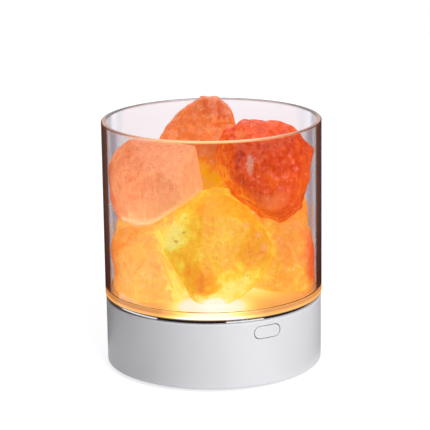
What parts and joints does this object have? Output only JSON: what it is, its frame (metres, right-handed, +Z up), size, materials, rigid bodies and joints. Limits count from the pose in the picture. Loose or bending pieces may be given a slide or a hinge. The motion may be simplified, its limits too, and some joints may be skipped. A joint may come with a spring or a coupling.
{
  "type": "salt crystal lamp",
  "caption": "Round table lamp: a clear acrylic cup of loose rock salt lumps on a white base with an upward lamp, a side push button and a rear socket.",
  "frame": {"origin": "on the table, under the axis of the round base and cup", "axes": "+Z up along the lamp's axis; -Y towards the push button at the front, +Y towards the socket at the rear; +X to the right as the button is faced"},
  "size_m": [0.086, 0.086, 0.1025],
  "materials": {
    "clear_acrylic": "cast clear acrylic tube and floor, polished, faint smoke at the edges",
    "plated_ring": "bright plated plastic trim ring",
    "bond_tape": "thin clear foam bonding tape",
    "white_shell": "satin moulded white ABS",
    "white_cover": "fine-textured moulded white ABS",
    "white_button": "satin moulded white ABS, same as the shell",
    "screw_steel": "zinc plated steel",
    "board": "glass-epoxy board with white solder mask",
    "emitter": "surface-mount warm white lamp",
    "reflector_white": "glossy white moulded reflector",
    "opal_window": "opal acrylic",
    "switch_black": "black moulded switch housing",
    "plunger_grey": "grey moulded plunger",
    "socket_steel": "drawn and plated steel shell",
    "tongue_black": "black moulded contact tongue",
    "chip_black": "black moulded chip package with tinned legs",
    "board_part": "wound coil, capacitor and chip resistors",
    "foot_rubber": "light grey moulded silicone rubber",
    "salt_salmon": "cleaved rock salt, salmon pink",
    "salt_red": "cleaved rock salt, deep orange red",
    "salt_orange": "cleaved rock salt, orange",
    "salt_amber": "cleaved rock salt, pale amber"
  },
  "bodies": {
    "base": {"crystal_cup": "clear_acrylic", "bright_ring": "plated_ring", "cup_bond_ring": "bond_tape", "base_shell": "white_shell", "bottom_cover": "white_cover", "cover_screws": "screw_steel", "main_board": "board", "board_screws": "screw_steel", "light_emitters": "emitter", "light_reflector": "reflector_white", "diffuser_window": "opal_window", "switch_body": "switch_black", "usb_socket": "socket_steel", "usb_tongue": "tongue_black", "control_chip": "chip_black", "board_parts": "board_part", "foot_right": "foot_rubber", "foot_rear": "foot_rubber", "foot_left": "foot_rubber", "foot_front": "foot_rubber"},
    "button": {"power_button": "white_button"},
    "plunger": {"switch_plunger": "plunger_grey"},
    "salt_bed": {"salt_lower_left": "salt_orange", "salt_lower_front": "salt_amber", "salt_lower_right": "salt_orange", "salt_rear_left": "salt_red", "salt_core": "salt_amber", "salt_rear_right": "salt_orange", "salt_rear": "salt_orange"},
    "left_lump": {"salt_upper_left": "salt_salmon"},
    "right_lump": {"salt_upper_right": "salt_red"},
    "back_lump": {"salt_upper_back": "salt_orange"},
    "rear_lump": {"salt_upper_rear": "salt_red"}
  },
  "joints": [
    {"name": "button_press", "type": "slide", "parent": "base", "child": "button", "axis": [0, 1, 0], "range_m": [0, 0.0004], "stiffness_N_per_m": 900, "springref_m": -0.0008},
    {"name": "plunger_press", "type": "slide", "parent": "base", "child": "plunger", "axis": [0, 1, 0], "range_m": [0, 0.0005]},
    {"name": "salt_bed_lift", "type": "slide", "parent": "base", "child": "salt_bed", "axis": [0, 0, 1], "range_m": [0, 0.07]},
    {"name": "left_lump_lift", "type": "slide", "parent": "salt_bed", "child": "left_lump", "axis": [0, 0, 1], "range_m": [0, 0.045]},
    {"name": "right_lump_lift", "type": "slide", "parent": "salt_bed", "child": "right_lump", "axis": [0, 0, 1], "range_m": [0, 0.045]},
    {"name": "back_lump_lift", "type": "slide", "parent": "salt_bed", "child": "back_lump", "axis": [0, 0, 1], "range_m": [0, 0.045]},
    {"name": "rear_lump_lift", "type": "slide", "parent": "salt_bed", "child": "rear_lump", "axis": [0, 0, 1], "range_m": [0, 0.045]}
  ],
  "couplings": [
    {"joint": "plunger_press", "follows": "button_press", "ratio": 1}
  ]
}
